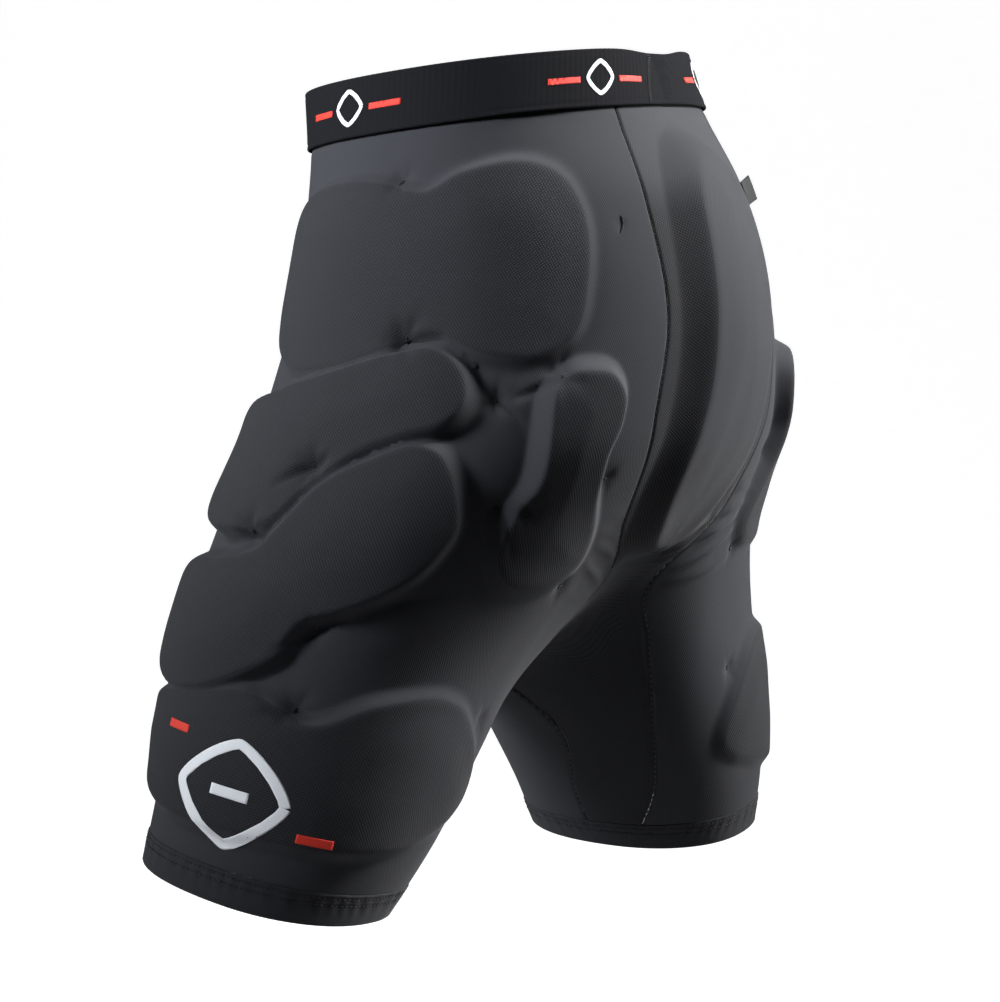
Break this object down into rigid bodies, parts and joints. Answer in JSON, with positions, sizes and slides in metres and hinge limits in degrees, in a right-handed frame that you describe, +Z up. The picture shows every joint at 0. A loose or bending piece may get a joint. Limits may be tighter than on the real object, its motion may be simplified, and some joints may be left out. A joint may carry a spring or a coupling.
{
  "type": "padded impact shorts with tailbone, buttock, hip and thigh pads",
  "caption": "Worn padded impact shorts: dark stretch knit over foam pads at the hips, thighs, buttocks and tailbone, with a wide elastic waistband.",
  "frame": {"origin": "middle of the waist opening, half way up the waistband", "axes": "+X to the wearer's left, -Y to the wearer's front, +Z up"},
  "size_m": [0.4665, 0.2756, 0.4693],
  "materials": {
    "leg_knit": "matt",
    "centre_knit": "matt",
    "gusset_knit": "matt",
    "hem_knit": "matt",
    "waist_elastic": "matt",
    "pad_foam": "matt",
    "tab_weave": "matt"
  },
  "bodies": {
    "root": {"waistband": "waist_elastic", "left_leg_panel": "leg_knit", "right_leg_panel": "leg_knit", "back_centre_panel": "centre_knit", "front_centre_panel": "centre_knit", "crotch_gusset": "gusset_knit", "left_hem": "hem_knit", "right_hem": "hem_knit", "left_hip_pad": "pad_foam", "left_upper_thigh_pad": "pad_foam", "left_mid_thigh_pad": "pad_foam", "left_lower_thigh_pad": "pad_foam", "left_buttock_pad": "pad_foam", "right_hip_pad": "pad_foam", "right_upper_thigh_pad": "pad_foam", "right_mid_thigh_pad": "pad_foam", "right_lower_thigh_pad": "pad_foam", "right_buttock_pad": "pad_foam", "tailbone_pad": "pad_foam", "seam_tab": "tab_weave"}
  },
  "joints": []
}
